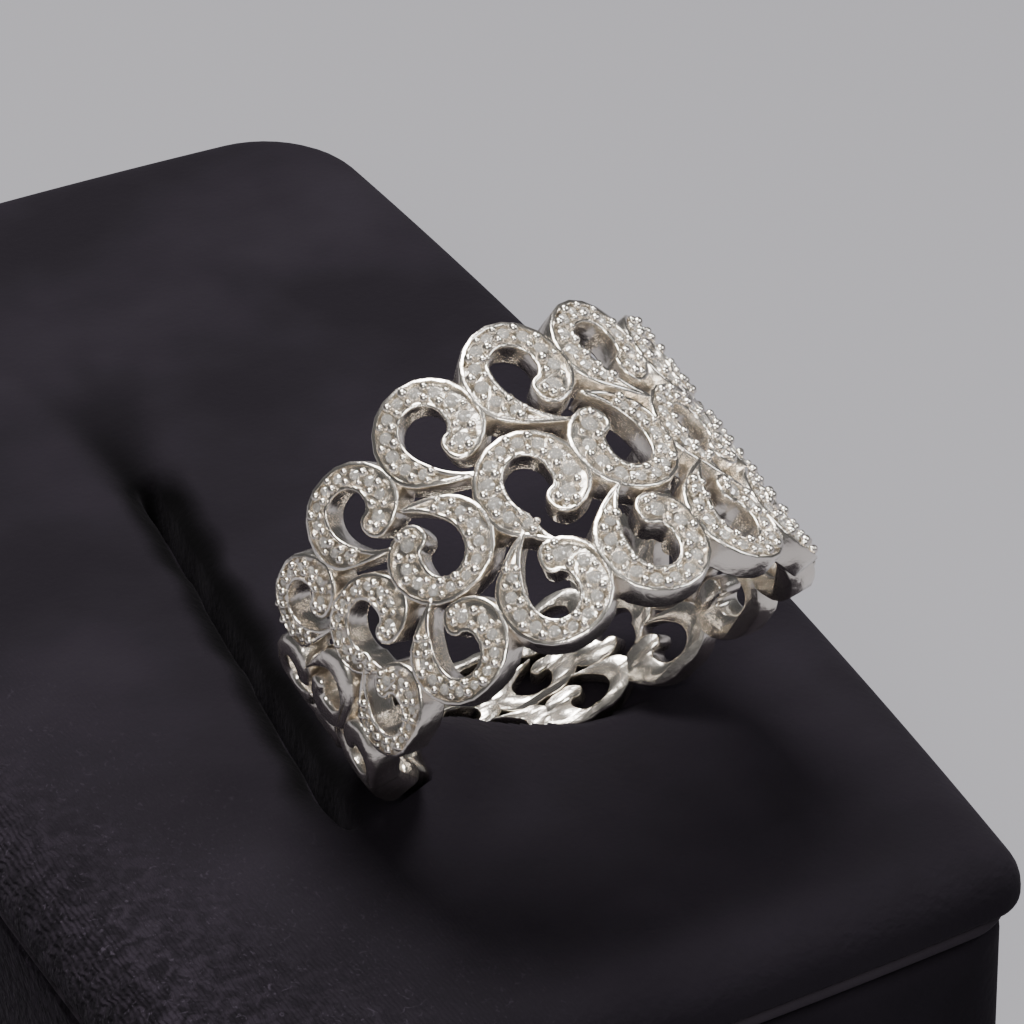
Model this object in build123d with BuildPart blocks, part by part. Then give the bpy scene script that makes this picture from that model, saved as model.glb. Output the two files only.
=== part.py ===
"""Pierced dress ring of scrolled openwork with small set stones, standing in a fabric display block.

Millimetres, +Z up. The origin is the middle of the display block's bottom face. The front of the
block, and the open front end of the ring, face -Y. The ring leans in the block as it is shown there.
"""
import os
from collections import namedtuple
from math import cos, pi, radians, sin, sqrt

from build123d import *

os.makedirs("parts", exist_ok=True)

# Display block
block_length = 70.1            # along Y, at the middle of its bowed ends
block_width = 38.0             # along X, at the middle of its bowed sides
block_height = 30.0
side_bow = 1.3                 # long sides, outwards from their corners
end_bow = 0.6
front_corner = 2.4             # upright corners, seen from above
back_corner = 4.9
body_bottom_round = 0.5
body_top_round = 0.7
crease_height = 0.5            # groove between body and welt
crease_depth = 1.0
welt_height = 0.7              # thin roll round the pad's lower edge
welt_overhang = 0.25           # past the body
welt_round = 0.3
pad_height = 3.0
pad_overhang = 0.4             # past the body
pad_bottom_round = 0.4
pad_top_round = 2.4

slit_length = 28.0
slit_width = 1.6
slit_depth = 7.0
slit_lip = 0.7                 # rounding of the slit's lips
slit_turn = 5.5                # off the block's length, towards +X at its far end, degrees
slit_from_front = 29.2         # slit's middle to the block's front end
slit_from_side = 23.0          # slit's middle to the block's +X side
slit_x = block_width / 2 - slit_from_side
slit_y = slit_from_front - block_length / 2

# Ring
ring_radius = 10.0             # outside of the band
ring_wall = 1.25
ring_size_radius = ring_radius - ring_wall      # finger hole
ring_from_front = 15.2         # ring centre to the block's front end
ring_from_side = 15.8          # ring centre to the block's +X side
ring_x = block_width / 2 - ring_from_side
ring_y = ring_from_front - block_length / 2
ring_rise = 8.6                # ring centre above the block's top
ring_yaw = 9.4                 # front end turned towards +X, degrees
ring_tip = 24.8                # front end tipped down, degrees
ring_lean = 31.4               # widest part leaning towards +X, degrees
seat_gap = 0.35                # band to the walls of the trench that it stands in
seat_length = 7.6              # of that trench, along the ring's axis

# Scrollwork
scrolls_per_row = 14
row_spacing = 4.5              # between rows at the widest part
scroll_half_width = 2.33       # along the row
scroll_half_height = 2.45      # across the band, at the widest part
widest_turn = 20.0             # widest part, round from the leaning direction, degrees
back_share = 0.33              # width of the band's back, share of its widest part
rim_width = 0.18               # raised edge round each stone channel
channel_depth = 0.45
stone_turn = 28.0              # middle of the part set with stones, round from the leaning direction
stone_reach = 86.0             # stones are set within this angle of it; both in degrees

prism_below = 1.8              # scroll outlines are drawn this far inside the ring's outside, in walls
prism_above = 0.4              # and run this far past it

# Stones
stone_diameters = [0.95, 0.76, 0.70, 0.64, 0.58, 0.52, 0.46, 0.40, 0.34]
stone_gap = 0.1                # between neighbours
stone_sides = 8
table_share = 0.58             # table width, share of the stone's diameter
crown_share = 0.16             # crown height, share of the stone's diameter
pavilion_share = 0.32          # pavilion depth, share of the stone's diameter
culet_share = 0.12             # culet width, share of the stone's diameter
table_rise = 0.06              # table above the raised edges

# Outline of one scroll, going round from its left side over its round back. Shares of the scroll's
# half width and half height. Each arc runs from one "end" through the "mid" after it to the next end.
# follow: how far the point goes with the tail tip where a row moves its tips.
# channel: True where the stone channel has this point too, in by the raised edge.
OutlinePoint = namedtuple("OutlinePoint", "across along follow channel")
scroll_outline = [
    OutlinePoint(across=-1.00, along=0.00, follow=0.0, channel=True),
    OutlinePoint(across=-0.71, along=0.71, follow=0.0, channel=True),
    OutlinePoint(across=0.00, along=1.00, follow=0.0, channel=True),
    OutlinePoint(across=0.71, along=0.71, follow=0.0, channel=True),
    OutlinePoint(across=1.00, along=0.00, follow=0.0, channel=True),
    OutlinePoint(across=0.89, along=-0.49, follow=0.0, channel=True),
    OutlinePoint(across=0.54, along=-0.83, follow=0.0, channel=True),
    OutlinePoint(across=0.20, along=-1.00, follow=0.5, channel=False),
    OutlinePoint(across=-0.16, along=-1.10, follow=1.0, channel=False),
    OutlinePoint(across=-0.17, along=-1.04, follow=1.0, channel=False),
    OutlinePoint(across=-0.12, along=-0.98, follow=1.0, channel=False),
    OutlinePoint(across=0.13, along=-0.77, follow=0.5, channel=True),
    OutlinePoint(across=0.33, along=-0.45, follow=0.0, channel=True),
    OutlinePoint(across=0.44, along=-0.14, follow=0.0, channel=True),
    OutlinePoint(across=0.43, along=0.16, follow=0.0, channel=True),
    OutlinePoint(across=0.28, along=0.43, follow=0.0, channel=True),
    OutlinePoint(across=0.00, along=0.53, follow=0.0, channel=True),
    OutlinePoint(across=-0.27, along=0.38, follow=0.0, channel=True),
    OutlinePoint(across=-0.35, along=0.05, follow=0.0, channel=True),
    OutlinePoint(across=-0.33, along=-0.10, follow=0.0, channel=True),
    OutlinePoint(across=-0.25, along=-0.21, follow=0.0, channel=True),
    OutlinePoint(across=-0.07, along=-0.30, follow=0.0, channel=True),
    OutlinePoint(across=-0.03, along=-0.49, follow=0.0, channel=True),
    OutlinePoint(across=-0.12, along=-0.72, follow=0.0, channel=True),
    OutlinePoint(across=-0.40, along=-0.80, follow=0.0, channel=True),
    OutlinePoint(across=-0.84, along=-0.54, follow=0.0, channel=True),
]

# Places of the stones in one scroll, from its round head to its tail. Shares as above.
Stone = namedtuple("Stone", "across along size")
scroll_stones = [
    Stone(across=-0.40, along=-0.47, size=1.00),
    Stone(across=-0.665, along=-0.125, size=0.80),
    Stone(across=-0.645, along=0.23, size=0.80),
    Stone(across=-0.495, along=0.545, size=0.76),
    Stone(across=-0.205, along=0.725, size=0.70),
    Stone(across=0.12, along=0.755, size=0.65),
    Stone(across=0.42, along=0.635, size=0.71),
    Stone(across=0.63, along=0.37, size=0.76),
    Stone(across=0.72, along=0.03, size=0.82),
    Stone(across=0.67, along=-0.31, size=0.72),
    Stone(across=0.465, along=-0.60, size=0.68),
]

# Rows of scrolls from the rear edge of the band to its front edge.
# start: angle of the row's first scroll, share of the pitch. place: row place, share of the spacing.
# tip_across, tip_along: how far the tail tips are moved to meet the next row, shares as above.
# back_side: -1 where the round backs face the rear edge, 1 where they face the front edge.
Row = namedtuple("Row", "start place back_side tip_across tip_along turned_start turned_step")
rows = [
    Row(start=0.33, place=-1.0, back_side=-1, tip_across=-0.10, tip_along=-0.10, turned_start=0,
        turned_step=0),
    Row(start=0.85, place=0.0, back_side=-1, tip_across=0.36, tip_along=-0.04, turned_start=0,
        turned_step=2),
    Row(start=0.24, place=1.0, back_side=1, tip_across=0.00, tip_along=-0.10, turned_start=0,
        turned_step=0),
]

# Layers of the display block, from the bottom up.
body_height = block_height - crease_height - welt_height - pad_height
welt_bottom = body_height + crease_height
pad_bottom = welt_bottom + welt_height
Layer = namedtuple("Layer", "bottom height overhang round_below round_above")
block_layers = [
    Layer(bottom=0, height=body_height, overhang=0, round_below=body_bottom_round,
          round_above=body_top_round),
    Layer(bottom=body_height, height=crease_height, overhang=-crease_depth, round_below=0, round_above=0),
    Layer(bottom=welt_bottom, height=welt_height, overhang=welt_overhang, round_below=welt_round,
          round_above=welt_round),
    Layer(bottom=pad_bottom, height=pad_height, overhang=pad_overhang, round_below=pad_bottom_round,
          round_above=pad_top_round),
]

# Directions of the leaning ring.
yaw, tip, lean = radians(ring_yaw), radians(ring_tip), radians(ring_lean)
ring_front = Vector(sin(yaw) * cos(tip), -cos(yaw) * cos(tip), -sin(tip))
ring_upright = Vector(sin(yaw) * sin(tip), -cos(yaw) * sin(tip), cos(tip))
ring_side = Vector(cos(yaw), sin(yaw), 0)
ring_widest = ring_upright * cos(lean) + ring_side * sin(lean)
ring_centre = Vector(ring_x, ring_y, block_height + ring_rise)
ring_frame = Plane(origin=ring_centre, x_dir=ring_widest, z_dir=ring_front)

pitch = 2 * pi / scrolls_per_row
edge_half_width = row_spacing + scroll_half_height
largest_stone = stone_diameters[0]
tube_length = 3 * edge_half_width
prism_radius = ring_radius - prism_below * ring_wall
prism_length = (prism_below + prism_above) * ring_wall


def width_share(angle):
    """Width of the band at an angle round it, share of its widest part."""
    return 1 - (1 - back_share) * (1 - cos(angle - radians(widest_turn))) / 2


def band_plane(angle, height, radius):
    """Plane touching the band's cylinder; its x runs round the ring and its y to the front edge."""
    radial = ring_frame.x_dir * cos(angle) + ring_frame.y_dir * sin(angle)
    along_row = ring_frame.y_dir * cos(angle) - ring_frame.x_dir * sin(angle)
    origin = ring_centre + radial * radius + ring_frame.z_dir * height
    return Plane(origin=origin, x_dir=along_row, z_dir=radial)


Scroll = namedtuple("Scroll", "row angle height share turn_x turn_y turned set_with_stones")


def list_scrolls():
    """Every scroll of the three rows."""
    found = []
    for row in rows:
        for number in range(scrolls_per_row):
            angle = (row.start + number) * pitch
            if angle > pi:
                angle -= 2 * pi
            turned = row.turned_step > 0 and number % row.turned_step == row.turned_start
            flip = -1 if turned else 1
            share = width_share(angle)
            found.append(Scroll(
                row=row,
                angle=angle,
                height=row.place * row_spacing * share,
                share=share,
                turn_x=flip,
                turn_y=row.back_side * flip,
                turned=turned,
                set_with_stones=abs(angle - radians(stone_turn)) < radians(stone_reach),
            ))
    return found


def outline_points(scroll, inset):
    """Outline of a scroll, or of its stone channel when the inset is more than nothing."""
    tip_across = 0 if scroll.turned else scroll.row.tip_across
    tip_along = 0 if scroll.turned else scroll.row.tip_along
    points = []
    for item in scroll_outline:
        if inset == 0 or item.channel:
            across = item.across + item.follow * tip_across
            along = item.along + item.follow * tip_along
            points.append((across * scroll_half_width, along * scroll_half_height * scroll.share))
    if inset > 0:
        points = inset_points(points, inset)
    return [(x * scroll.turn_x, y * scroll.turn_y) for x, y in points]


def inset_points(points, inset):
    """Points moved inwards from a clockwise loop."""
    moved = []
    for index, (x, y) in enumerate(points):
        before = points[index - 1]
        after = points[(index + 1) % len(points)]
        run_x, run_y = after[0] - before[0], after[1] - before[1]
        run = sqrt(run_x * run_x + run_y * run_y)
        moved.append((x + inset * run_y / run, y - inset * run_x / run))
    return moved


def draw_outline(points):
    """Closed loop of arcs, each through three points, with a line for a gap of one point."""
    count = len(points)
    for index in range(0, count, 2):
        end = points[(index + 2) % count]
        ThreePointArc(points[index], points[index + 1], end)


scrolls = list_scrolls()

# Wall of the band as a plain tube.
with BuildPart() as band_wall:
    with Locations(ring_frame.location):
        Cylinder(ring_radius, tube_length)
        Cylinder(ring_size_radius, tube_length, mode=Mode.SUBTRACT)

# Channels that the stones lie in, one in each scroll that has stones.
with BuildPart() as stone_channels:
    for scroll in scrolls:
        if scroll.set_with_stones:
            with BuildSketch(band_plane(scroll.angle, scroll.height, prism_radius)):
                with BuildLine():
                    draw_outline(outline_points(scroll, rim_width * scroll.share))
                make_face()
    extrude(amount=prism_length)
    with Locations(ring_frame.location):
        Cylinder(ring_radius - channel_depth, tube_length, mode=Mode.SUBTRACT)

# Each scroll is cut through the wall of the tube; neighbours and rows meet at their edges.
with BuildPart() as scroll_band:
    for scroll in scrolls:
        with BuildSketch(band_plane(scroll.angle, scroll.height, prism_radius)):
            with BuildLine():
                draw_outline(outline_points(scroll, 0))
            make_face()
    extrude(amount=prism_length)
    add(band_wall.part, mode=Mode.INTERSECT)
    add(stone_channels.part, mode=Mode.SUBTRACT)
scroll_band.part.label = "scroll_band"
export_step(scroll_band.part, "parts/scroll_band.step", write_pcurves=False)

# One cut stone of each size, its table at the origin and facing up. Every section across two
# opposite facets has the same outline, so the stone is what these sections leave between them.
StoneCut = namedtuple("StoneCut", "diameter solid")
stone_cuts = []
for diameter in stone_diameters:
    facet_half_width = diameter / 2 * cos(pi / stone_sides)
    table_half_width = facet_half_width * table_share
    culet_half_width = facet_half_width * culet_share
    girdle_depth = crown_share * diameter
    culet_depth = girdle_depth + pavilion_share * diameter
    section = [
        (table_half_width, 0),
        (facet_half_width, -girdle_depth),
        (culet_half_width, -culet_depth),
        (-culet_half_width, -culet_depth),
        (-facet_half_width, -girdle_depth),
        (-table_half_width, 0),
    ]
    with BuildPart() as cut_stone:
        for number in range(stone_sides // 2):
            with BuildSketch(Plane.XZ.rotated((0, 0, number * 360 / stone_sides))):
                Polygon(*section, align=None)
            extrude(amount=diameter, both=True, mode=Mode.INTERSECT if number else Mode.ADD)
    stone_cuts.append(StoneCut(diameter=diameter, solid=cut_stone.part))


def stone_places(diameter):
    """Places of the stones of one size, each square to the band."""
    places = []
    for scroll in scrolls:
        if scroll.set_with_stones:
            for stone in scroll_stones:
                room = (largest_stone * stone.size + stone_gap) * scroll.share - stone_gap
                fitting = [size for size in stone_diameters if size <= room]
                if max(fitting, default=stone_diameters[-1]) == diameter:
                    across = stone.across * scroll_half_width * scroll.turn_x
                    along = stone.along * scroll_half_height * scroll.share * scroll.turn_y
                    angle = scroll.angle + across / ring_radius
                    plane = band_plane(angle, scroll.height + along, ring_radius + table_rise)
                    places.append(plane.location)
    return places


# The stones lie loose in their channels.
loose_stones = [cut.solid.located(place) for cut in stone_cuts for place in stone_places(cut.diameter)]
with BuildPart() as pave_stones:
    add(loose_stones, clean=False)
pave_stones.part.label = "pave_stones"
export_step(pave_stones.part, "parts/pave_stones.step", write_pcurves=False)

# Display block: body, crease, welt and padded top, one on the other, with the slit and the trench
# that the back of the band stands in.
def block_slab(layer):
    """One layer of the display block, with bowed sides and rounded corners and edges."""
    half_x = block_width / 2 + layer.overhang
    half_y = block_length / 2 + layer.overhang
    corner_x = half_x - side_bow
    corner_y = half_y - end_bow
    with BuildPart() as slab:
        with BuildSketch(Plane.XY.offset(layer.bottom)) as outline:
            with BuildLine():
                ThreePointArc((corner_x, -corner_y), (half_x, 0), (corner_x, corner_y))
                ThreePointArc((corner_x, corner_y), (0, half_y), (-corner_x, corner_y))
                ThreePointArc((-corner_x, corner_y), (-half_x, 0), (-corner_x, -corner_y))
                ThreePointArc((-corner_x, -corner_y), (0, -half_y), (corner_x, -corner_y))
            make_face()
            fillet(outline.vertices().group_by(Axis.Y)[0], front_corner + layer.overhang)
            fillet(outline.vertices().group_by(Axis.Y)[-1], back_corner + layer.overhang)
        extrude(amount=layer.height)
        if layer.round_below > 0:
            fillet(slab.edges().group_by(Axis.Z)[0], layer.round_below)
        if layer.round_above > 0:
            fillet(slab.edges().group_by(Axis.Z)[-1], layer.round_above)
    return slab.part


with BuildPart() as ring_trench:
    with Locations(ring_frame.location):
        Cylinder(ring_radius + seat_gap, seat_length)
        Cylinder(ring_size_radius - seat_gap, seat_length, mode=Mode.SUBTRACT)

block_slabs = [block_slab(layer) for layer in block_layers]
with BuildPart() as display_block:
    add(block_slabs)
    with BuildSketch(Plane.XY.offset(block_height)):
        with Locations((slit_x, slit_y)):
            SlotOverall(slit_length, slit_width, rotation=90 - slit_turn)
    extrude(amount=-slit_depth, mode=Mode.SUBTRACT)
    fillet(display_block.edges(Select.LAST).group_by(Axis.Z)[-1], slit_lip)
    add(ring_trench.part, mode=Mode.SUBTRACT)
display_block.part.label = "display_block"
export_step(display_block.part, "parts/display_block.step")
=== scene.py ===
"""Looks of a pierced scrollwork dress ring set with small stones, standing in a fabric block.

Metres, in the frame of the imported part. The ring's ways are worked out from the same named angles as
in the solids: ring_front is its axis, towards the open front end of the band, and ring_lean_way and
ring_cross_way are square to it.
"""
from collections import namedtuple
from math import atan2, cos, exp, pi, radians, sin, sqrt, tan

import bmesh
import bpy
import numpy as np
from mathutils import Matrix, Vector
from mathutils.geometry import tessellate_polygon


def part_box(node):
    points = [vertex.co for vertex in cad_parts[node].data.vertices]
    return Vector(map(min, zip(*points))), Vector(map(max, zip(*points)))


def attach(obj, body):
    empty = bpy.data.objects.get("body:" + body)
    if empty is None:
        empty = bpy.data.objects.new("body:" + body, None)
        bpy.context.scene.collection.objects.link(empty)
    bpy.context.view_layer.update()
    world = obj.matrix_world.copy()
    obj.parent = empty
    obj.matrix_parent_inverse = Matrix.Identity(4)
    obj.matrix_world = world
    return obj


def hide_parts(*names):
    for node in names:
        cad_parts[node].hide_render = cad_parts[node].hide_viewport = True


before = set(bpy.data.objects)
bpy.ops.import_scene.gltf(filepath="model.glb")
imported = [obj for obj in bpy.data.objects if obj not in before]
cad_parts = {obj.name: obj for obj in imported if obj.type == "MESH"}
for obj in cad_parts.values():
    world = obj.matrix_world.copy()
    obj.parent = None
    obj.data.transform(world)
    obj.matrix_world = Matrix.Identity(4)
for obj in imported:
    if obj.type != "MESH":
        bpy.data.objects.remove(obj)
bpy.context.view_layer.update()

# Display block
block_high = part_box("display_block")[1]
pad_overhang = 0.0004          # pad past the body
block_height = block_high.z
half_width = block_high.x - pad_overhang
half_length = block_high.y - pad_overhang
side_bow = 0.0013              # long sides, outwards from their corners
end_bow = 0.0006
front_corner = 0.0024          # upright corners, seen from above
back_corner = 0.0049
body_bottom_round = 0.0005
body_top_round = 0.0007
underside_rim = 0.0020         # from the body's side to the flat face under it
crease_height = 0.0005
crease_depth = 0.0010
welt_height = 0.0007
welt_overhang = 0.00025
pad_height = 0.0030
pad_bottom_round = 0.0004
pad_top_round = 0.0024
pad_front_corner = 0.0017      # the soft top's front corners where it is widest
pad_least_corner = 0.0009      # and where they are sharpest
body_height = block_height - crease_height - welt_height - pad_height
welt_bottom = body_height + crease_height
pad_bottom = welt_bottom + welt_height

# Ring
ring_radius = 0.0100           # outside of the band
ring_wall = 0.00125
hole_radius = ring_radius - ring_wall
ring_rise = 0.0086             # ring centre above the block's top
ring_from_front = 0.0152       # ring centre to the body's front end
ring_from_side = 0.0158        # ring centre to the body's +X side
ring_centre = Vector((
    half_width - ring_from_side,
    ring_from_front - half_length,
    block_height + ring_rise,
))
ring_yaw = radians(9.4)        # axis off the block's length, towards +X at the front
ring_tip = radians(24.8)       # open front end, downwards
ring_lean = radians(31.4)      # where angles round the ring start, off its top towards +X
ring_front = Vector((sin(ring_yaw) * cos(ring_tip), -cos(ring_yaw) * cos(ring_tip), -sin(ring_tip)))
ring_upright = Vector((sin(ring_yaw) * sin(ring_tip), -cos(ring_yaw) * sin(ring_tip), cos(ring_tip)))
ring_side = Vector((cos(ring_yaw), sin(ring_yaw), 0))
ring_lean_way = ring_upright * cos(ring_lean) + ring_side * sin(ring_lean)
ring_cross_way = ring_front.cross(ring_lean_way)

# Scrollwork
scrolls_per_row = 14
pitch = 2 * pi / scrolls_per_row
row_spacing = 0.0045
scroll_half_width = 0.00233
scroll_half_height = 0.00245
widest_turn = radians(20)
back_share = 0.33
stone_turn = radians(28)       # middle of the part set with stones
stone_reach = radians(86)      # stones are set within this angle of it
arc_steps = 5                  # points along each arc of an outline
most_inset = 0.9               # of the way to a scroll's middle that an edge may go in
thin_from = 0.00021            # half widths of a scroll between which its channel gives way
thin_to = 0.00030              # to a plain ridge
crest_points = 3               # of a channel's edge that stay up where it gives way
nothing = 1e-7                 # a distance that counts as none

# Unevenness of the cast edges: waves of each scroll's outline, and of its top's height, round it
wobble = 0.000040
slow_waves, fast_waves, top_waves = 3, 7, 5
wobble_by_angle, wobble_by_row, wobble_by_top = 7, 3, 3    # what sets one scroll off from the next

# Stones
largest_stone = 0.00095
smallest_stone = 0.00034
stone_gap = 0.0001
table_rise = 0.00006
crown_share = 0.16             # heights, shares of the stone's width
girdle_share = 0.03
pavilion_share = 0.31
table_share = 0.56             # corners from the stone's axis, shares of its radius
kite_share = 0.78
main_share = 0.28
kite_fall = 0.5                # down the crown, and down to the culet
main_fall = 0.8
facets_round = 8
seen_share = 0.76              # of a stone that its setting leaves in sight
stone_spin = 0.7               # radians from one stone to the next

# Beads of metal that hold the stones
bead_radius = 0.00020
bead_height = 0.00004          # bead centre above the band's outside
bead_reach = 0.26              # off the line of stones, share of two stones' widths
first_bead_turns = (-50, 0, 50)          # round the first stone, degrees off the line of stones
last_bead_turns = (-35, 35)
bead_unevenness = 0.22
bead_by_number, bead_by_angle = 2.4, 5   # what sets one bead's size off from the next

# Slit in the top of the pad
slit_from_side = 0.0230        # middle of the slit to the body's +X side
slit_from_front = 0.0292       # and to its front end
slit_x = half_width - slit_from_side
slit_y = slit_from_front - half_length
slit_turn = radians(5.5)       # off the block's length, towards +X at its far end
slit_half_length = 0.0140
slit_depth = 0.0050
slit_reach = 0.00045           # from the slit's middle to where its walls end
lip_reach = 0.0017             # from the slit's middle to where its soft lips are level
lip_depth = 0.0008
shade_whole = 0.0007           # painted shade: the fabric's colour is darkest this near the slit's middle and plain this far from it
shade_none = 0.0018            # and plain this far from it
foot_y = ring_centre.y + 0.0008          # where the slit opens round the ring's foot
foot_reach = 0.0040
foot_widening = 0.4
far_end_reach = 0.0030         # the slit opens a little at its far end too
far_end_widening = 0.3
foot_end_fade = 0.0045         # lengths over which the slit runs out at its two ends
far_end_fade = 0.0024
fade_past = 0.0008
ripple_share, ripple_turn = 0.10, 900              # waves of the lips, radians for a metre
fine_ripple_share, fine_ripple_turn = 0.07, 1730
hollow_reach = 0.0030          # wide shallow hollow that the slit lies in
hollow_depth = 0.00040
hollow_fade, hollow_past = 0.006, 0.004  # it runs out from before the slit's ends to past them

# Fabric pressed up inside the hoop, beside the slit
fold_x = ring_centre.x - 0.0038
fold_y = ring_centre.y + 0.0016
fold_half_x, fold_half_y = 0.0026, 0.0030
fold_rise = 0.0018
fold_none, fold_whole = 0.0004, 0.0016   # from the slit's middle

# Slight fold near the far end
mark_x = ring_centre.x + 0.0052
mark_y = ring_centre.y + 0.0410
mark_half_width, mark_half_length = 0.0011, 0.0042
mark_rise = 0.00022

# Fine wrinkles that fan out from the slit's far end
wrinkles = 3
wrinkle_x = slit_x + slit_half_length * sin(slit_turn)
wrinkle_y = slit_y + slit_half_length * cos(slit_turn)
wrinkle_turn = 70              # way that the first one runs, degrees from +X
wrinkle_step = 17              # turn to the next one
wrinkle_depth = 0.00030
wrinkle_half_width = 0.0010
# painted shade: share of the slit's darkening of the fabric's colour laid along each wrinkle
wrinkle_shade = 0.35
wrinkle_none, wrinkle_whole = -0.0035, 0.0002      # it comes in between these, from the slit's end
wrinkle_fade, wrinkle_end = 0.004, 0.014           # and runs out between these
wrinkle_sway, wrinkle_sway_turn = 0.0006, 300

# Gentle unevenness of the pad's top: waves, radians for a metre
swell_rise = 0.00005
swell_turn_x, swell_turn_y, swell_start = 310, 230, 1.0
aslant_share, aslant_turn_x, aslant_turn_y = 0.6, 130, -410

# Meshes of the block
RoundSteps = namedtuple("RoundSteps", "side end corner")
body_steps = RoundSteps(side=60, end=30, corner=12)
welt_steps = RoundSteps(side=90, end=45, corner=16)
pad_steps = RoundSteps(side=210, end=60, corner=10)
welt_round_steps = 12
fine_reach = 0.0022            # the pad's mesh is fine this near the slit
fine_step = 0.00011
plain_step = 0.00032
edge_fade = 0.0030             # the top's forms come in over this distance from its round edge
merge_distance = 2e-6
warp_whole, warp_none = 0.0018, 0.0060   # the pad's mesh follows the turned slit, less and less
warp_past, warp_end = 0.0020, 0.0100     # between these distances beside it and past its ends
band_margin = 0.0001           # the pad gives way this far beside and inside the band
band_clearance = 0.0002        # and lies this far off its outside
drop_step = 0.0001

# Fabric: places along corner_way where thread rows and strands begin to show, and where they are whole
corner_way = (1, 0.35, 0)
rib_none, rib_whole = -0.012, -0.022
strand_none, strand_whole = -0.0180, -0.0260
# painted shade: the fabric's colour is scaled by this share where the slit's painted shade is whole
painted_shade_share = 0.05
lint_color_share = 4

# Floor and camera
floor_half_size = 1.5
camera_lens, camera_sensor = 162.9, 36                       # millimetres
camera_near, camera_far = 0.01, 10
camera_from_ring = Vector((-0.067126, -0.137286, 0.108976))
camera_back = Vector((-0.35834, -0.74216, 0.56638))
camera_up = Vector((0.27742, 0.49462, 0.82365))

# Outline of one scroll, going round from its left side over its round back. Shares of the scroll's
# half width and half height. Every other point is an end of an arc, and the one after it lies on the
# arc to the next end. follow: how far the point goes with the tail tip where a row moves its tips.
OutlinePoint = namedtuple("OutlinePoint", "across along follow")
scroll_outline = [
    OutlinePoint(across=-1.00, along=0.00, follow=0.0),
    OutlinePoint(across=-0.71, along=0.71, follow=0.0),
    OutlinePoint(across=0.00, along=1.00, follow=0.0),
    OutlinePoint(across=0.71, along=0.71, follow=0.0),
    OutlinePoint(across=1.00, along=0.00, follow=0.0),
    OutlinePoint(across=0.89, along=-0.49, follow=0.0),
    OutlinePoint(across=0.54, along=-0.83, follow=0.0),
    OutlinePoint(across=0.20, along=-1.00, follow=0.5),
    OutlinePoint(across=-0.16, along=-1.10, follow=1.0),
    OutlinePoint(across=-0.17, along=-1.04, follow=1.0),
    OutlinePoint(across=-0.12, along=-0.98, follow=1.0),
    OutlinePoint(across=0.13, along=-0.77, follow=0.5),
    OutlinePoint(across=0.33, along=-0.45, follow=0.0),
    OutlinePoint(across=0.44, along=-0.14, follow=0.0),
    OutlinePoint(across=0.43, along=0.16, follow=0.0),
    OutlinePoint(across=0.28, along=0.43, follow=0.0),
    OutlinePoint(across=0.00, along=0.53, follow=0.0),
    OutlinePoint(across=-0.27, along=0.38, follow=0.0),
    OutlinePoint(across=-0.35, along=0.05, follow=0.0),
    OutlinePoint(across=-0.33, along=-0.10, follow=0.0),
    OutlinePoint(across=-0.25, along=-0.21, follow=0.0),
    OutlinePoint(across=-0.07, along=-0.30, follow=0.0),
    OutlinePoint(across=-0.03, along=-0.49, follow=0.0),
    OutlinePoint(across=-0.12, along=-0.72, follow=0.0),
    OutlinePoint(across=-0.40, along=-0.80, follow=0.0),
    OutlinePoint(across=-0.84, along=-0.54, follow=0.0),
]

# Places of the stones in one scroll, from its round head to its tail. Shares as above.
Stone = namedtuple("Stone", "across along size")
scroll_stones = [
    Stone(across=-0.40, along=-0.47, size=1.00),
    Stone(across=-0.665, along=-0.125, size=0.80),
    Stone(across=-0.645, along=0.23, size=0.80),
    Stone(across=-0.495, along=0.545, size=0.76),
    Stone(across=-0.205, along=0.725, size=0.70),
    Stone(across=0.12, along=0.755, size=0.65),
    Stone(across=0.42, along=0.635, size=0.71),
    Stone(across=0.63, along=0.37, size=0.76),
    Stone(across=0.72, along=0.03, size=0.82),
    Stone(across=0.67, along=-0.31, size=0.72),
    Stone(across=0.465, along=-0.60, size=0.68),
]

# Rows of scrolls from the rear edge of the band to its front edge, as in the solids. turned_step:
# every so many scrolls one is turned about, none where it is 0.
Row = namedtuple("Row", "start place back_side tip_across tip_along turned_step")
rows = [
    Row(start=0.33, place=-1.0, back_side=-1, tip_across=-0.10, tip_along=-0.10, turned_step=0),
    Row(start=0.85, place=0.0, back_side=-1, tip_across=0.36, tip_along=-0.04, turned_step=2),
    Row(start=0.24, place=1.0, back_side=1, tip_across=0.00, tip_along=-0.10, turned_step=0),
]

# Sections across a scroll's edge, from its side wall inwards. inset: from the outline. rise: above the
# band's outside for the raised edge of a channel and for a plain scroll, and above the finger hole for
# the inner face's edge.
EdgePoint = namedtuple("EdgePoint", "inset rise")
channel_edge = [
    EdgePoint(inset=0.0, rise=-0.00009),
    EdgePoint(inset=0.000020, rise=-0.00003),
    EdgePoint(inset=0.000055, rise=0.0),
    EdgePoint(inset=0.000175, rise=0.0),
    EdgePoint(inset=0.000210, rise=-0.00004),
    EdgePoint(inset=0.000235, rise=-0.00012),
    EdgePoint(inset=0.000250, rise=-0.00024),
]
plain_edge = [
    EdgePoint(inset=0.0, rise=-0.00016),
    EdgePoint(inset=0.00004, rise=-0.00006),
    EdgePoint(inset=0.00010, rise=0.0),
    EdgePoint(inset=0.00020, rise=0.00005),
    EdgePoint(inset=0.00034, rise=0.00008),
]
inner_edge = [
    EdgePoint(inset=0.0, rise=0.00012),
    EdgePoint(inset=0.00003, rise=0.00004),
    EdgePoint(inset=0.00009, rise=0.0),
]

Scroll = namedtuple("Scroll", "row angle height share turn_x turn_y turned set_with_stones")


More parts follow.
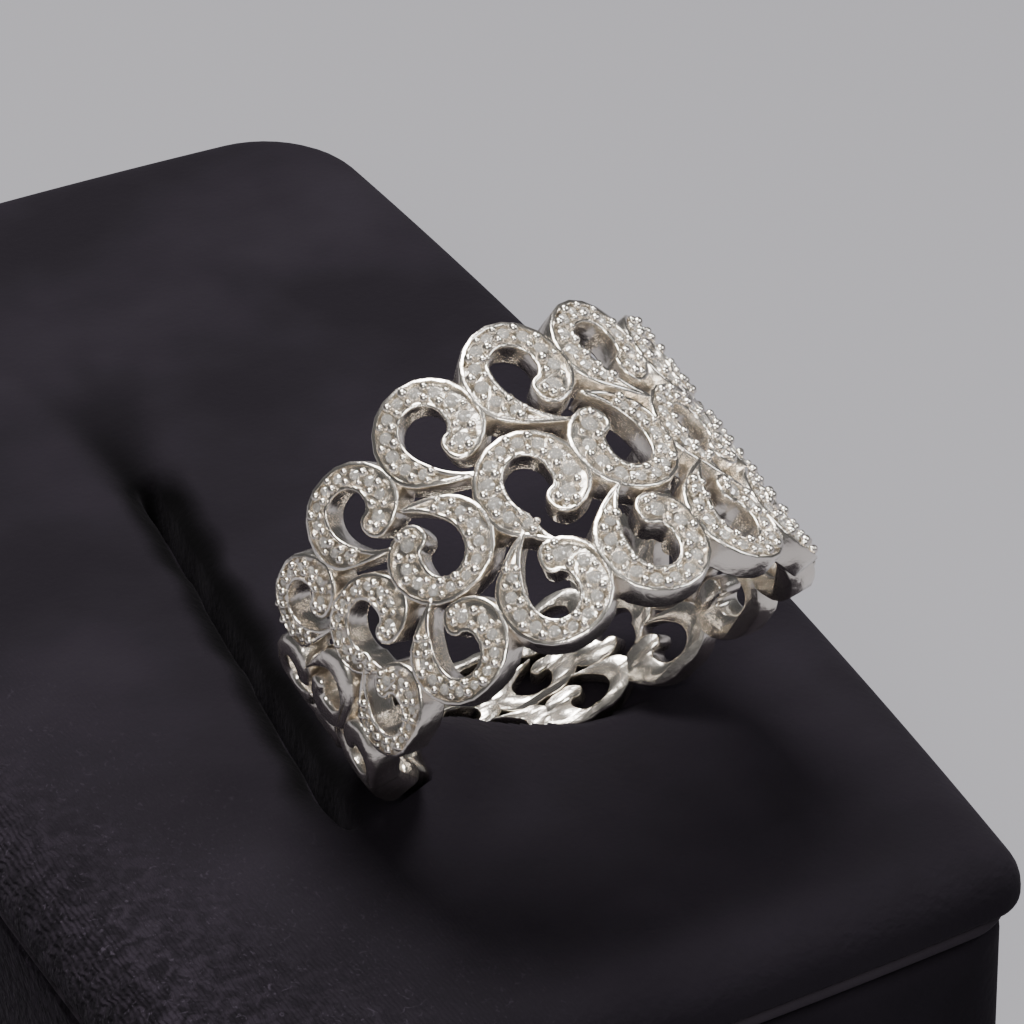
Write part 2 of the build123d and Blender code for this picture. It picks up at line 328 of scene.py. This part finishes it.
# Mesh tools
def finished_object(name, bm, sharp_angle):
    """Object made of a bmesh, smooth but for edges sharper than an angle."""
    bmesh.ops.recalc_face_normals(bm, faces=bm.faces)
    mesh = bpy.data.meshes.new(name)
    bm.to_mesh(mesh)
    bm.free()
    mesh.shade_smooth()
    mesh.set_sharp_from_angle(angle=sharp_angle)
    made = bpy.data.objects.new(name, mesh)
    bpy.context.scene.collection.objects.link(made)
    return made


def join_loops(bm, loops):
    """Faces between rings of vertices."""
    count = len(loops[0])
    for lower, upper in zip(loops, loops[1:]):
        for k in range(count):
            after = (k + 1) % count
            bm.faces.new((lower[k], lower[after], upper[after], upper[k]))


def frame_matrix(x_way, y_way, z_way, origin):
    """Matrix of a frame with these axes at an origin."""
    matrix = Matrix((x_way, y_way, z_way)).transposed().to_4x4()
    matrix.translation = origin
    return matrix


# Band
def width_share(angle):
    """Width of the band at an angle round it, share of its widest part."""
    return 1 - (1 - back_share) * (1 - cos(angle - widest_turn)) / 2


def list_scrolls():
    """Every scroll of the three rows."""
    found = []
    for row in rows:
        for number in range(scrolls_per_row):
            angle = (row.start + number) * pitch
            if angle > pi:
                angle -= 2 * pi
            turned = row.turned_step > 0 and number % row.turned_step == 0
            flip = -1 if turned else 1
            share = width_share(angle)
            found.append(Scroll(
                row=row,
                angle=angle,
                height=row.place * row_spacing * share,
                share=share,
                turn_x=flip,
                turn_y=row.back_side * flip,
                turned=turned,
                set_with_stones=abs(angle - stone_turn) < stone_reach,
            ))
    return found


def arc_points(first, middle, last):
    """Points on the arc through three points, without the last one."""
    ax, ay = first
    bx, by = middle
    cx, cy = last
    spread = 2 * (ax * (by - cy) + bx * (cy - ay) + cx * (ay - by))
    a2, b2, c2 = ax * ax + ay * ay, bx * bx + by * by, cx * cx + cy * cy
    ox = (a2 * (by - cy) + b2 * (cy - ay) + c2 * (ay - by)) / spread
    oy = (a2 * (cx - bx) + b2 * (ax - cx) + c2 * (bx - ax)) / spread
    radius = sqrt((ax - ox) ** 2 + (ay - oy) ** 2)
    start = atan2(ay - oy, ax - ox)
    through = (atan2(by - oy, bx - ox) - start) % (2 * pi)
    sweep = (atan2(cy - oy, cx - ox) - start) % (2 * pi)
    if through > sweep:
        sweep -= 2 * pi
    turns = [start + sweep * step / arc_steps for step in range(arc_steps)]
    return [(ox + radius * cos(turn), oy + radius * sin(turn)) for turn in turns]


def outline_points(scroll):
    """Closed outline of a scroll on the plane that touches the band, clockwise before it is turned."""
    tip_across = 0 if scroll.turned else scroll.row.tip_across
    tip_along = 0 if scroll.turned else scroll.row.tip_along
    corners = []
    for item in scroll_outline:
        across = item.across + item.follow * tip_across
        along = item.along + item.follow * tip_along
        corners.append((across * scroll_half_width, along * scroll_half_height * scroll.share))
    points = []
    for index in range(0, len(corners), 2):
        following = corners[(index + 2) % len(corners)]
        points += arc_points(corners[index], corners[index + 1], following)
    return np.array(points)


def inward_normals(points):
    """Unit normals into a clockwise loop."""
    run = np.roll(points, -1, axis=0) - np.roll(points, 1, axis=0)
    run /= np.linalg.norm(run, axis=1)[:, None]
    return np.stack([run[:, 1], -run[:, 0]], axis=1)


def local_half_width(points, normals):
    """Radius of the largest circle that touches the loop from inside at each point."""
    away = points[None, :, :] - points[:, None, :]
    ahead = np.einsum("ijk,ik->ij", away, normals)
    square = (away ** 2).sum(axis=2)
    reach = np.where(ahead > nothing, square / (2 * np.maximum(ahead, nothing)), np.inf)
    return reach.min(axis=1)


def ways_at(angle):
    """Ways outwards and onwards round the ring at an angle."""
    outward = ring_lean_way * cos(angle) + ring_cross_way * sin(angle)
    onward = ring_cross_way * cos(angle) - ring_lean_way * sin(angle)
    return outward, onward


def band_point(scroll, x, y, radius):
    """Place on the band of a point of the scroll's plane, at a distance from the ring's axis."""
    outward, onward = ways_at(scroll.angle)
    depth = sqrt(radius * radius - x * x)
    return ring_centre + outward * depth + onward * x + ring_front * (scroll.height + y)


def scroll_mesh(bm, scroll):
    """One scroll as a closed solid: side wall, edges, channel floor or plain top, and inner face."""
    points = outline_points(scroll)
    normals = inward_normals(points)
    phase = scroll.angle * wobble_by_angle + scroll.row.place * wobble_by_row
    turns = 2 * pi * np.arange(len(points)) / len(points)
    waves = np.sin(phase + slow_waves * turns) + np.sin(2 * phase + fast_waves * turns)
    points = points + normals * (wobble / 2 * waves)[:, None]
    uneven = wobble / 2 * np.sin(phase * wobble_by_top + top_waves * turns)
    room = local_half_width(points, normals)
    thick = np.clip((room - thin_from) / (thin_to - thin_from), 0, 1)
    flip = np.array([scroll.turn_x, scroll.turn_y])

    def loop(inset, levels):
        """Ring of vertices at an inset from the outline, and its points on the scroll's plane."""
        inset_here = np.minimum(inset * sqrt(scroll.share), room * most_inset)
        placed = (points + normals * inset_here[:, None]) * flip
        made = [bm.verts.new(band_point(scroll, x, y, level)) for (x, y), level in zip(placed, levels)]
        return made, placed

    even = np.ones(len(points))
    loops = [loop(item.inset, (hole_radius + item.rise) * even) for item in reversed(inner_edge)]
    edge = channel_edge if scroll.set_with_stones else plain_edge
    for number, item in enumerate(edge):
        sinks = scroll.set_with_stones and number >= crest_points
        levels = ring_radius + item.rise * (thick if sinks else even) + uneven
        loops.append(loop(item.inset, levels))
    join_loops(bm, [made for made, placed in loops])
    for made, placed in (loops[0], loops[-1]):
        for corners in tessellate_polygon([[Vector((x, y, 0)) for x, y in placed]]):
            if len(set(corners)) == 3:
                bm.faces.new([made[corner] for corner in corners])


def make_band(scrolls):
    """The cast band, scroll by scroll."""
    bm = bmesh.new()
    for scroll in scrolls:
        scroll_mesh(bm, scroll)
    return finished_object("scroll_band_cast", bm, sharp_angle=radians(50))


# Stones and their beads
def stone_diameter(scroll, stone):
    """Diameter of a stone at its place."""
    room = (largest_stone * stone.size + stone_gap) * scroll.share - stone_gap
    return max(room, smallest_stone) * seen_share


def stone_place(scroll, stone):
    """Place of a stone on the scroll's plane."""
    x = stone.across * scroll_half_width * scroll.turn_x
    y = stone.along * scroll_half_height * scroll.share * scroll.turn_y
    return x, y


def stone_matrix(scroll, x, y, radius):
    """Frame square to the band at a place of the scroll's plane, its z away from the ring's axis."""
    outward, onward = ways_at(scroll.angle + x / ring_radius)
    origin = ring_centre + outward * radius + ring_front * (scroll.height + y)
    return frame_matrix(onward, ring_front, outward, origin)


def brilliant(bm, matrix, diameter, spin):
    """A round cut stone with table, star, kite and girdle facets, its table at the matrix's origin."""
    radius = diameter / 2
    girdle_top = -crown_share * diameter
    girdle_low = girdle_top - girdle_share * diameter
    culet = girdle_low - pavilion_share * diameter

    def corner(share, step, z):
        """Vertex at a share of the radius and half steps of a facet round."""
        turn = spin + step * pi / facets_round
        place = Vector((share * radius * cos(turn), share * radius * sin(turn), z))
        return bm.verts.new(matrix @ place)

    table = [corner(table_share, 2 * k, 0) for k in range(facets_round)]
    kites = [corner(kite_share, 2 * k + 1, girdle_top * kite_fall) for k in range(facets_round)]
    upper = [corner(1, k, girdle_top) for k in range(2 * facets_round)]
    lower = [corner(1, k, girdle_low) for k in range(2 * facets_round)]
    mains = [corner(main_share, 2 * k + 1, culet * main_fall) for k in range(facets_round)]
    tip = bm.verts.new(matrix @ Vector((0, 0, culet)))
    bm.faces.new(table)
    for k in range(facets_round):
        after = (k + 1) % facets_round
        left, mid, right = 2 * k, 2 * k + 1, (2 * k + 2) % (2 * facets_round)
        bm.faces.new((table[k], kites[k], table[after]))
        bm.faces.new((table[k], kites[k - 1], upper[left], kites[k]))
        bm.faces.new((kites[k], upper[left], upper[mid]))
        bm.faces.new((kites[k], upper[mid], upper[right]))
        bm.faces.new((upper[left], lower[left], lower[mid], upper[mid]))
        bm.faces.new((upper[mid], lower[mid], lower[right], upper[right]))
        bm.faces.new((mains[k], lower[mid], lower[left]))
        bm.faces.new((mains[k], lower[right], lower[mid]))
        bm.faces.new((tip, mains[k], lower[left], mains[k - 1]))


def make_stones(scrolls):
    """The small stones in their channels, at the same places as the solids."""
    bm = bmesh.new()
    held = [(scroll, stone) for scroll in scrolls if scroll.set_with_stones for stone in scroll_stones]
    for number, (scroll, stone) in enumerate(held, start=1):
        x, y = stone_place(scroll, stone)
        matrix = stone_matrix(scroll, x, y, ring_radius + table_rise)
        brilliant(bm, matrix, stone_diameter(scroll, stone), number * stone_spin)
    return finished_object("pave_diamonds", bm, sharp_angle=radians(1))


def bead_places(scroll):
    """Places of a scroll's beads on its plane: two between each stone and the next, some at the ends."""
    places = [Vector(stone_place(scroll, stone)) for stone in scroll_stones]
    sizes = [stone_diameter(scroll, stone) for stone in scroll_stones]
    beads = []
    for k in range(len(places) - 1):
        run = (places[k + 1] - places[k]).normalized()
        square = Vector((-run.y, run.x))
        both = sizes[k] + sizes[k + 1]
        middle = (places[k] * sizes[k + 1] + places[k + 1] * sizes[k]) / both
        beads += [middle + square * (both * bead_reach), middle - square * (both * bead_reach)]
    for end, neighbour, turns in ((0, 1, first_bead_turns), (-1, -2, last_bead_turns)):
        way = (places[end] - places[neighbour]).normalized()
        reach = (sizes[end] + bead_radius) / 2
        beads += [places[end] + (Matrix.Rotation(radians(turn), 2) @ way) * reach for turn in turns]
    return beads


def make_beads(scrolls):
    """Small beads of metal that hold the stones, a little uneven in size."""
    bm = bmesh.new()
    for scroll in scrolls:
        if not scroll.set_with_stones:
            continue
        for number, bead in enumerate(bead_places(scroll)):
            matrix = stone_matrix(scroll, bead.x, bead.y, ring_radius + bead_height)
            uneven = 1 + bead_unevenness * sin(number * bead_by_number + scroll.angle * bead_by_angle)
            radius = bead_radius * sqrt(scroll.share) * uneven
            bmesh.ops.create_icosphere(bm, subdivisions=2, radius=radius, matrix=matrix)
    return finished_object("bead_prongs", bm, sharp_angle=radians(60))


# Block
Corner = namedtuple("Corner", "side_x side_y start radius steps_after")


def firm_corner(overhang):
    """Radius of the body's and the welt's front corners at an overhang."""
    return front_corner + overhang


def soft_corner(overhang):
    """Radius of the pad's front corners at an overhang."""
    return max(pad_front_corner + overhang - pad_overhang, pad_least_corner)


def corner_point(corner, half_x, half_y, degrees):
    """Point of a rounded corner in a direction from its centre."""
    turn = radians(degrees)
    centre_x = corner.side_x * (half_x - corner.radius)
    centre_y = corner.side_y * (half_y - corner.radius)
    return Vector((centre_x, centre_y)) + corner.radius * Vector((cos(turn), sin(turn)))


def rounded_loop(overhang, front_radius, steps, inset=0.0):
    """Points round the block, in by an inset from a line at an overhang past the body's outline."""
    outer_x, outer_y = half_width + overhang - side_bow, half_length + overhang - end_bow
    half_x, half_y = outer_x - inset, outer_y - inset
    front = front_radius * half_x / outer_x
    back = (back_corner + overhang) * half_x / outer_x
    corners = (
        Corner(side_x=1, side_y=-1, start=-90, radius=front, steps_after=steps.side),
        Corner(side_x=1, side_y=1, start=0, radius=back, steps_after=steps.end),
        Corner(side_x=-1, side_y=1, start=90, radius=back, steps_after=steps.side),
        Corner(side_x=-1, side_y=-1, start=180, radius=front, steps_after=steps.end),
    )
    points = []
    for corner, following in zip(corners, corners[1:] + corners[:1]):
        for step in range(steps.corner):
            degrees = corner.start + 90 * step / steps.corner
            points.append(corner_point(corner, half_x, half_y, degrees))
        first = corner_point(corner, half_x, half_y, corner.start + 90)
        last = corner_point(following, half_x, half_y, corner.start + 90)
        for step in range(corner.steps_after):
            points.append(first.lerp(last, step / corner.steps_after))
    bowed = []
    for point in points:
        bow_x = 1 + side_bow / outer_x * (1 - (point.y / outer_y) ** 2)
        bow_y = 1 + end_bow / outer_y * (1 - (point.x / outer_x) ** 2)
        bowed.append((point.x * bow_x, point.y * bow_y))
    return bowed


def section_loops(bm, section, corner_radius, steps):
    """Rings of vertices round the block, one for each overhang and height of a section."""
    loops = []
    for overhang, z in section:
        outline = rounded_loop(overhang, corner_radius(overhang), steps)
        loops.append([bm.verts.new((x, y, z)) for x, y in outline])
    return loops


def quarter(overhang, z, radius, start, steps):
    """Quarter of a circle as (overhang, z) pairs, round a centre, anticlockwise from an angle."""
    turns = [radians(start + 90 * step / steps) for step in range(steps + 1)]
    return [(overhang + radius * cos(turn), z + radius * sin(turn)) for turn in turns]


def make_body():
    """Fabric-covered body of the block, with the crease under the pad's edge."""
    section = [(-underside_rim, 0)]
    section += quarter(-body_bottom_round, body_bottom_round, body_bottom_round, start=-90, steps=4)
    section += quarter(-body_top_round, body_height - body_top_round, body_top_round, start=0, steps=5)
    section += [(-crease_depth, body_height), (-crease_depth, pad_bottom)]
    bm = bmesh.new()
    loops = section_loops(bm, section, firm_corner, body_steps)
    join_loops(bm, loops)
    bm.faces.new(list(reversed(loops[0])))
    bm.faces.new(loops[-1])
    return finished_object("block_body", bm, sharp_angle=radians(60))


def make_welt():
    """Thin fabric roll under the pad."""
    radius = welt_height / 2
    turns = [2 * pi * step / welt_round_steps for step in range(welt_round_steps)]
    section = [(welt_overhang - radius + radius * cos(turn), welt_bottom + radius + radius * sin(turn))
               for turn in turns]
    bm = bmesh.new()
    loops = section_loops(bm, section, firm_corner, welt_steps)
    join_loops(bm, loops + loops[:1])
    return finished_object("block_welt", bm, sharp_angle=radians(70))


# Padded top
def smooth_rise(low, high, value):
    """Smooth rise from 0 to 1 between two values."""
    share = min(max((value - low) / (high - low), 0), 1)
    return share * share * (3 - 2 * share)


def smooth_fall(low, high, value):
    """Smooth fall from 1 to 0 between two values."""
    return 1 - smooth_rise(low, high, value)


def bell(away, reach):
    """Smooth rise and fall, 1 in its middle and a third of that at its reach."""
    return exp(-(away / reach) ** 2)


def slit_place(x, y):
    """Place across and along the slit, from its middle."""
    away_x, away_y = x - slit_x, y - slit_y
    across = away_x * cos(slit_turn) - away_y * sin(slit_turn)
    along = away_x * sin(slit_turn) + away_y * cos(slit_turn)
    return across, along


def slit_warp(x, y):
    """Sideways move of the pad's mesh, so that it follows the turned slit."""
    away = y - slit_y
    share = smooth_fall(warp_whole, warp_none, abs(x - slit_x))
    share *= smooth_fall(warp_past, warp_end, abs(away) - slit_half_length)
    return tan(slit_turn) * away * share


def swell(x, y):
    """Gentle unevenness of the pad's top."""
    upright = sin(x * swell_turn_x + swell_start) * sin(y * swell_turn_y)
    aslant = sin(x * aslant_turn_x + y * aslant_turn_y)
    return swell_rise * (upright + aslant_share * aslant)


def slit_form(y, across, along):
    """Drop of the pad's top at the slit, with its soft lips and hollow, and share of the shade painted
    into the fabric's colour there.
    """
    past_end = abs(along) - slit_half_length
    fade = foot_end_fade if along < 0 else far_end_fade
    in_length = smooth_fall(-fade, fade_past, past_end)
    at_foot = foot_widening * bell(y - foot_y, foot_reach)
    at_far_end = far_end_widening * bell(along - slit_half_length, far_end_reach)
    ripple = ripple_share * sin(along * ripple_turn)
    ripple += fine_ripple_share * sin(along * fine_ripple_turn + 1)
    wavy = 1 + at_foot + at_far_end + ripple
    lips = in_length * smooth_fall(0, lip_reach * wavy, abs(across))
    walls = in_length * smooth_fall(0, slit_reach * wavy, abs(across))
    hollow = bell(across, hollow_reach) * smooth_fall(-hollow_fade, hollow_past, past_end)
    drop = lip_depth * lips + (slit_depth - lip_depth) * walls + hollow_depth * hollow
    # painted shade of the fabric's colour, darkest at the slit's middle
    shade = in_length * smooth_fall(shade_whole * wavy, shade_none * wavy, abs(across))
    return drop, shade


def wrinkles_at(x, y):
    """Share of a wrinkle's depth and painted shade at a place, from all of them together."""
    from_x, from_y = x - wrinkle_x, y - wrinkle_y
    share = 0
    for number in range(wrinkles):
        turn = radians(wrinkle_turn + wrinkle_step * number)
        run = from_x * cos(turn) + from_y * sin(turn)
        sway = wrinkle_sway * sin(run * wrinkle_sway_turn + number)
        beside = from_y * cos(turn) - from_x * sin(turn) - sway
        length = smooth_rise(wrinkle_none, wrinkle_whole, run)
        length *= smooth_fall(wrinkle_fade, wrinkle_end, run)
        share += length * bell(beside, wrinkle_half_width)
    return share


def top_form(x, y):
    """Rise of the pad's top over its plain height, and share of the shade painted into the fabric's
    colour at the slit and its wrinkles.
    """
    across, along = slit_place(x, y)
    drop, shade = slit_form(y, across, along)
    fold = bell(x - fold_x, fold_half_x) * bell(y - fold_y, fold_half_y)
    fold *= smooth_rise(fold_none, fold_whole, across)
    mark = bell(x - mark_x, mark_half_width) * bell(y - mark_y, mark_half_length)
    wrinkle = wrinkles_at(x, y)
    rise = swell(x, y) + fold_rise * fold + mark_rise * mark - wrinkle_depth * wrinkle - drop
    # the slit's and wrinkles' painted shade, at most whole
    return rise, min(shade + wrinkle_shade * wrinkle, 1)


def from_ring_axis(place):
    """Distances of a place from the ring's centre: along the ring's axis, and square to it."""
    axial = place.dot(ring_front)
    return axial, (place - ring_front * axial).length


def below_band(x, y, z):
    """Height, kept under the band where the band passes through the pad."""
    place = Vector((x, y, z)) - ring_centre
    axial, away = from_ring_axis(place)
    angle = atan2(place.dot(ring_cross_way), place.dot(ring_lean_way))
    half = (row_spacing + scroll_half_height) * width_share(angle) + band_margin
    if abs(axial) < half and away > hole_radius - band_margin:
        while away < ring_radius + band_clearance:
            z -= drop_step
            place.z -= drop_step
            axial, away = from_ring_axis(place)
    return z


def make_pad():
    """Padded top with its slit, soft round edges and the ring's trench.

    Its float layer of painted shade holds how much the fabric's colour is darkened in the slit and
    wrinkles; the fabric reads it.
    """
    flat_overhang = pad_overhang - pad_top_round
    section = [(-crease_depth, pad_bottom)]
    section += quarter(pad_overhang - pad_bottom_round, pad_bottom + pad_bottom_round, pad_bottom_round,
                       start=-90, steps=5)
    section += quarter(flat_overhang, block_height - pad_top_round, pad_top_round, start=0, steps=9)
    bm = bmesh.new()
    painted_slit_shade = bm.verts.layers.float.new("painted_slit_shade")
    loops = section_loops(bm, section, soft_corner, pad_steps)
    flat_x = half_width + flat_overhang - side_bow
    inset = 0.0
    while inset < flat_x:
        by_slit = abs((flat_x - inset) * half_width / flat_x - abs(slit_x)) < fine_reach
        inset = min(inset + (fine_step if by_slit else plain_step), flat_x)
        formed = smooth_rise(0, edge_fade, inset)
        loops.append([])
        for x, y in rounded_loop(flat_overhang, soft_corner(flat_overhang), pad_steps, inset):
            x += slit_warp(x, y)
            rise, shade = top_form(x, y)
            point = bm.verts.new((x, y, below_band(x, y, block_height + rise * formed)))
            # painted shade for the fabric's colour, faded in with the top's forms
            point[painted_slit_shade] = shade * formed
            loops[-1].append(point)
    join_loops(bm, loops)
    bmesh.ops.remove_doubles(bm, verts=bm.verts, dist=merge_distance)
    return finished_object("block_pad", bm, sharp_angle=radians(80))


# Materials
def new_material(name, looks):
    """Material with its shader's values, its node tree and its shader."""
    made = bpy.data.materials.new(name)
    made.use_nodes = True
    tree = made.node_tree
    shader = next(node for node in tree.nodes if node.type == "BSDF_PRINCIPLED")
    for socket, value in looks.items():
        shader.inputs[socket].default_value = value
    return made, tree, shader


def object_place(tree):
    """Output that gives the place on the object."""
    return tree.nodes.new("ShaderNodeTexCoord").outputs["Object"]


def add_noise(tree, where, scale, detail, distortion=0.0):
    """Output of a noise at a place."""
    noise = tree.nodes.new("ShaderNodeTexNoise")
    noise.inputs["Scale"].default_value = scale
    noise.inputs["Detail"].default_value = detail
    noise.inputs["Distortion"].default_value = distortion
    tree.links.new(where, noise.inputs["Vector"])
    return noise.outputs["Fac"]


def add_bump(tree, height, distance, strength=1.0):
    """Bump node for a height."""
    bump = tree.nodes.new("ShaderNodeBump")
    bump.inputs["Strength"].default_value = strength
    bump.inputs["Distance"].default_value = distance
    tree.links.new(height, bump.inputs["Height"])
    return bump


def add_range(tree, value, none, whole, most=1.0):
    """Output that goes from 0 to the most while a value goes from none to whole."""
    step = tree.nodes.new("ShaderNodeMapRange")
    step.inputs["From Min"].default_value = none
    step.inputs["From Max"].default_value = whole
    step.inputs["To Max"].default_value = most
    tree.links.new(value, step.inputs["Value"])
    return step.outputs["Result"]


def add_ramp(tree, value, stops):
    """Output of a colour between two (position, colour) stops, by a value."""
    ramp = tree.nodes.new("ShaderNodeValToRGB")
    for element, (position, color) in zip(ramp.color_ramp.elements, stops):
        element.position = position
        element.color = color
    tree.links.new(value, ramp.inputs["Fac"])
    return ramp.outputs["Color"]


def add_mix(tree, share, first, blend="MIX"):
    """Mix of a first colour and its input B, by a share."""
    mix = tree.nodes.new("ShaderNodeMix")
    mix.data_type = "RGBA"
    mix.blend_type = blend
    tree.links.new(share, mix.inputs["Factor"])
    tree.links.new(first, mix.inputs["A"])
    return mix


def scaled(color, share):
    """Opaque colour, lighter or darker by a share."""
    return [part * share for part in color] + [1]


def white_gold():
    """Cast and polished white gold, slightly uneven."""
    made, tree, shader = new_material("white_gold_polished", {
        "Base Color": (0.82, 0.77, 0.70, 1),
        "Metallic": 1,
        "Roughness": 0.24,
    })
    grain = add_noise(tree, object_place(tree), scale=2200, detail=4)
    bump = add_bump(tree, grain, distance=0.00008, strength=0.5)
    tree.links.new(bump.outputs["Normal"], shader.inputs["Normal"])
    return made


def clear_stone():
    """Colourless cut stone."""
    return new_material("diamond_clear", {
        "Base Color": (0.97, 0.94, 0.89, 1),
        "Roughness": 0.04,
        "IOR": 2.4,
        "Transmission Weight": 0.80,
    })[0]


def nap_color(tree, where, corner_distance, ribbed, color):
    """Output of the fabric's colour: patches, strands and lint near the corner, darkened by painted
    shade in the slit and its wrinkles.
    """
    patches = add_noise(tree, where, scale=90, detail=3)
    tint = add_ramp(tree, patches, ((0.35, scaled(color, 0.8)), (0.72, scaled(color, 1.45))))
    fibres = add_noise(tree, where, scale=1700, detail=4, distortion=0.8)
    strands = add_ramp(tree, fibres, ((0.40, (0.5, 0.5, 0.5, 1)), (0.64, (1.5, 1.45, 1.48, 1))))
    stranded = add_range(tree, corner_distance, strand_none, strand_whole)
    mottled = add_mix(tree, stranded, tint, "MULTIPLY")
    tree.links.new(strands, mottled.inputs["B"])
    lint = add_noise(tree, where, scale=2400, detail=1, distortion=2.5)
    here = tree.nodes.new("ShaderNodeMath")
    here.operation = "MULTIPLY"
    tree.links.new(add_range(tree, lint, none=0.66, whole=0.75), here.inputs[0])
    tree.links.new(ribbed, here.inputs[1])
    paler = add_mix(tree, here.outputs["Value"], mottled.outputs["Result"])
    paler.inputs["B"].default_value = scaled(color, lint_color_share)
    # painted shade: the slit and its wrinkles darken the colour by the mesh's float layer
    in_slit = tree.nodes.new("ShaderNodeAttribute")
    in_slit.attribute_name = "painted_slit_shade"
    with_painted_shade = add_mix(tree, in_slit.outputs["Fac"], paler.outputs["Result"])
    with_painted_shade.inputs["B"].default_value = scaled(color, painted_shade_share)
    return with_painted_shade.outputs["Result"]


def dark_fabric(name, color, rib_strength):
    """Dark soft-napped fabric; its thread rows show only near the front left corner."""
    made, tree, shader = new_material(name, {
        "Roughness": 0.95,
        "Specular IOR Level": 0.05,
        "Sheen Weight": 0.02,
        "Sheen Roughness": 0.5,
        "Sheen Tint": (0.55, 0.5, 0.6, 1),
    })
    where = object_place(tree)
    corner_distance = tree.nodes.new("ShaderNodeVectorMath")
    corner_distance.operation = "DOT_PRODUCT"
    corner_distance.inputs[1].default_value = corner_way
    tree.links.new(where, corner_distance.inputs[0])
    towards_corner = corner_distance.outputs["Value"]
    ribbed = add_range(tree, towards_corner, rib_none, rib_whole, rib_strength)
    tree.links.new(nap_color(tree, where, towards_corner, ribbed, color), shader.inputs["Base Color"])
    threads = tree.nodes.new("ShaderNodeTexWave")
    threads.inputs["Scale"].default_value = 1500
    threads.inputs["Distortion"].default_value = 6
    threads.inputs["Detail"].default_value = 2
    tree.links.new(where, threads.inputs["Vector"])
    nap = add_bump(tree, add_noise(tree, where, scale=2600, detail=4), distance=0.00012, strength=0.5)
    ribs = add_bump(tree, threads.outputs["Fac"], distance=0.00012)
    tree.links.new(ribbed, ribs.inputs["Strength"])
    tree.links.new(nap.outputs["Normal"], ribs.inputs["Normal"])
    tree.links.new(ribs.outputs["Normal"], shader.inputs["Normal"])
    return made


def floor_material():
    """Plain pale floor."""
    made, tree, shader = new_material("floor_pale", {
        "Base Color": (0.199, 0.197, 0.216, 1),
        "Roughness": 0.7,
    })
    grain = add_noise(tree, object_place(tree), scale=40, detail=4)
    bump = add_bump(tree, grain, distance=0.001, strength=0.02)
    tree.links.new(bump.outputs["Normal"], shader.inputs["Normal"])
    return made


# Light, floor and camera
def add_area(name, place, size, watts, color):
    """Square soft box aimed at the ring."""
    data = bpy.data.lights.new(name, "AREA")
    data.shape = "SQUARE"
    data.size = size
    data.energy = watts
    data.color = color
    made = bpy.data.objects.new(name, data)
    made.location = place
    made.rotation_mode = "QUATERNION"
    made.rotation_quaternion = (Vector(place) - ring_centre).to_track_quat("Z", "Y")
    bpy.context.scene.collection.objects.link(made)


def add_floor():
    """Plain pale floor under the block."""
    mesh = bpy.data.meshes.new("floor")
    sides = ((-1, -1), (1, -1), (1, 1), (-1, 1))
    corners = [(x * floor_half_size, y * floor_half_size, 0) for x, y in sides]
    mesh.from_pydata(corners, [], [(0, 1, 2, 3)])
    floor = bpy.data.objects.new("floor", mesh)
    floor.data.materials.append(floor_material())
    bpy.context.scene.collection.objects.link(floor)


def add_world():
    """Even pale surroundings."""
    world = bpy.data.worlds.new("soft_light")
    world.use_nodes = True
    ground = next(node for node in world.node_tree.nodes if node.type == "BACKGROUND")
    ground.inputs["Color"].default_value = (0.80, 0.82, 0.85, 1)
    ground.inputs["Strength"].default_value = 0.10
    bpy.context.scene.world = world


def add_camera():
    """Camera at the photograph's angle: its place from the ring's centre, and the way it faces."""
    data = bpy.data.cameras.new("camera")
    data.lens = camera_lens
    data.sensor_width = camera_sensor
    data.clip_start, data.clip_end = camera_near, camera_far
    camera = bpy.data.objects.new("camera", data)
    back = camera_back.normalized()
    right = camera_up.cross(back).normalized()
    camera.matrix_world = frame_matrix(right, back.cross(right), back, ring_centre + camera_from_ring)
    bpy.context.scene.collection.objects.link(camera)
    bpy.context.scene.camera = camera


scrolls = list_scrolls()
gold = white_gold()

band = make_band(scrolls)
band.data.materials.append(gold)
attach(band, "root")
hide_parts("scroll_band")

beads = make_beads(scrolls)
beads.data.materials.append(gold)
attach(beads, "root")

stones = make_stones(scrolls)
stones.data.materials.append(clear_stone())
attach(stones, "root")
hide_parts("pave_stones")

block_fabric = dark_fabric("fabric_dark", color=(0.0090, 0.0075, 0.0102), rib_strength=0.6)
welt_fabric = dark_fabric("fabric_welt", color=(0.020, 0.0168, 0.0212), rib_strength=0.1)
body = make_body()
body.data.materials.append(block_fabric)
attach(body, "root")
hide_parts("display_block")

welt = make_welt()
welt.data.materials.append(welt_fabric)
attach(welt, "root")

pad = make_pad()
pad.data.materials.append(block_fabric)
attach(pad, "root")
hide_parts("display_block")

add_floor()
add_world()
add_area("key", place=(0.00, 0.12, 0.48), size=0.22, watts=5.5, color=(1.0, 0.98, 0.96))
add_area("fill", place=(0.30, -0.20, 0.34), size=0.18, watts=1.0, color=(0.97, 0.98, 1.0))
add_area("front", place=(-0.20, -0.36, 0.36), size=0.12, watts=1.6, color=(1.0, 0.97, 0.93))
add_camera()
